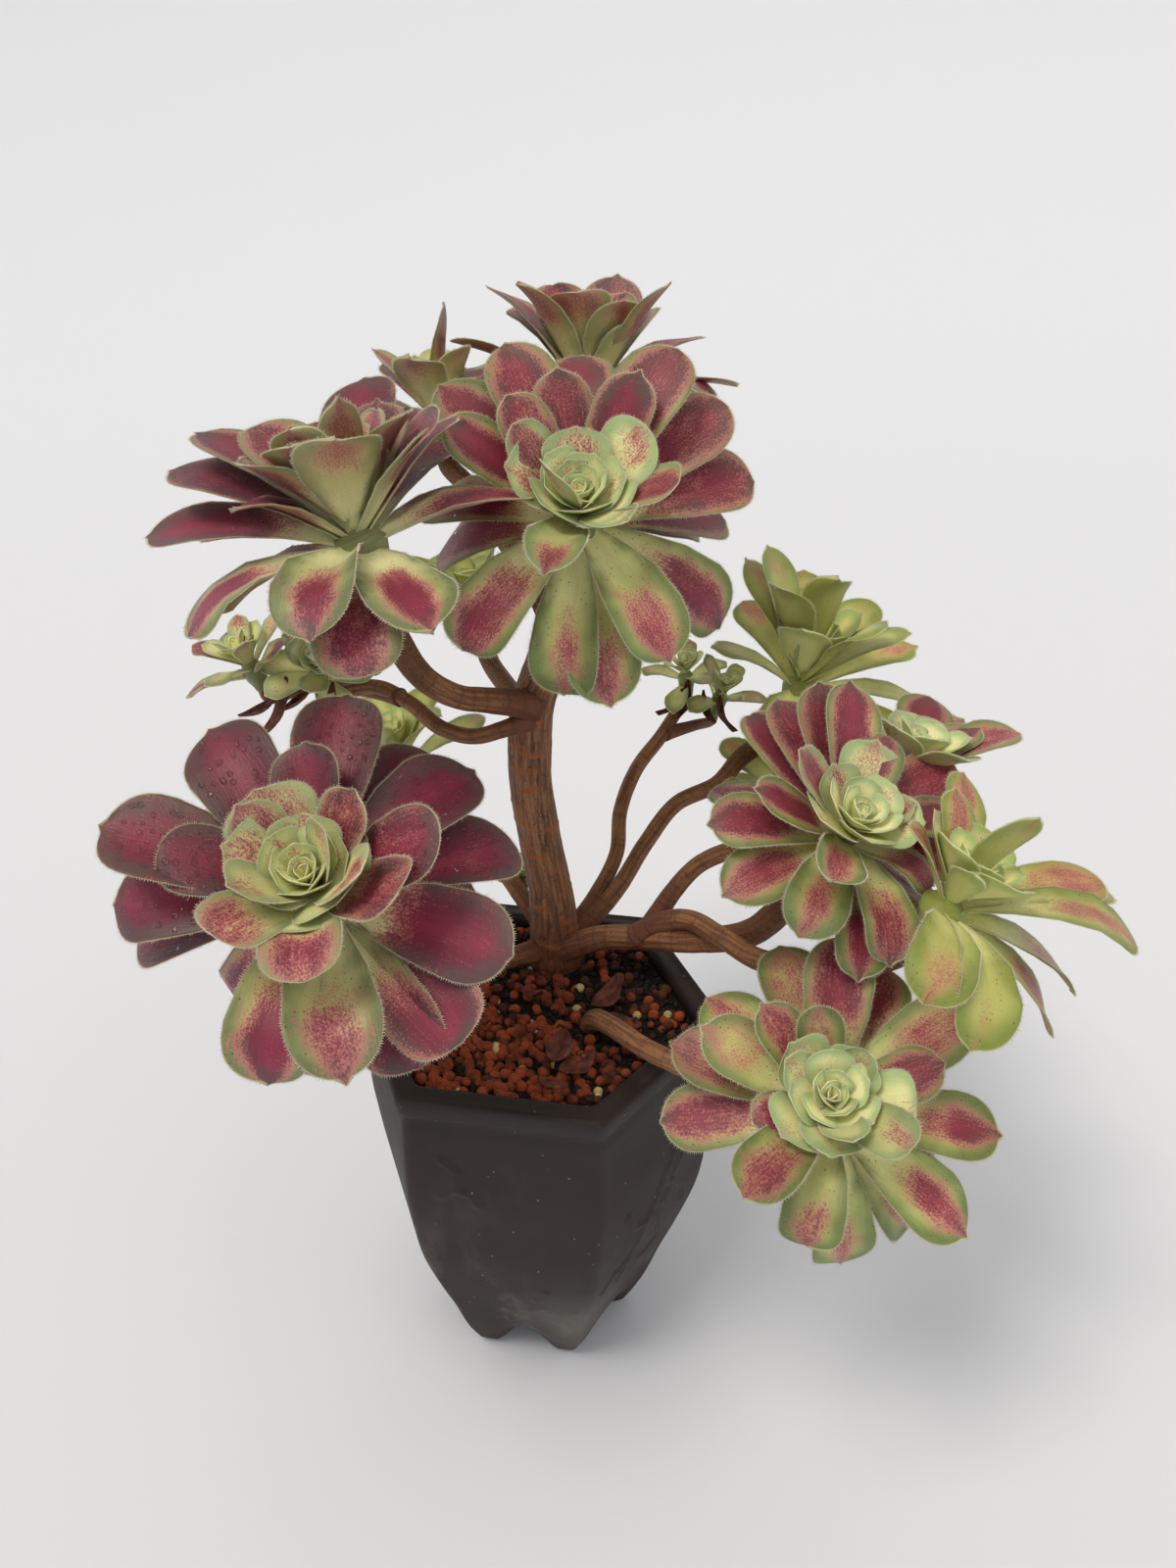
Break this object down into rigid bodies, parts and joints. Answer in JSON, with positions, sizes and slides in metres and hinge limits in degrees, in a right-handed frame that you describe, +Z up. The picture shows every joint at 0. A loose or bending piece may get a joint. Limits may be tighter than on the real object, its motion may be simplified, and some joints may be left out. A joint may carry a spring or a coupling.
{
  "type": "potted aeonium",
  "caption": "Branching succulent with leafy rosettes on an old woody stem, growing from gritty soil in a six-sided clay pot on lobed feet.",
  "frame": {"origin": "on the floor, under the middle of the whole plant's bounding box", "axes": "+Z up; -Y towards the front of the pot, where the lowest big rosette leans out; +X to its right"},
  "size_m": [0.371, 0.318, 0.4533],
  "materials": {
    "clay": "unglazed dark brown clay, matt, with pale wipe marks",
    "grit": "loose red and black lava granules with pale beads",
    "bark": "rough grey brown bark with leaf scars",
    "dark_leaf": "satin waxy leaf, burgundy with green heart",
    "mixed_leaf": "satin waxy leaf, green with pink stripe and pale edge",
    "dry_leaf": "shrivelled dry leaf, matt"
  },
  "bodies": {
    "root": {"pot": "clay", "soil": "grit", "trunk": "bark", "lowCane": "bark", "headFrontLeft": "dark_leaf", "headCrown": "mixed_leaf", "headLowerRight": "mixed_leaf", "headRight": "mixed_leaf", "headUpperLeft": "dark_leaf", "headFarRight": "mixed_leaf", "headRightBack": "mixed_leaf", "headTopBack": "mixed_leaf", "headTopLeft": "dark_leaf", "headSlopeBack": "mixed_leaf", "headMiddleBack": "mixed_leaf", "headLowLeft": "mixed_leaf", "headBehindRight": "mixed_leaf", "youngLeft": "mixed_leaf", "youngFarLeft": "dark_leaf", "youngBackA": "mixed_leaf", "youngBackB": "mixed_leaf", "sprout": "mixed_leaf", "dryLeafA": "dry_leaf", "dryLeafB": "dry_leaf", "dryLeafC": "dry_leaf"}
  },
  "joints": []
}
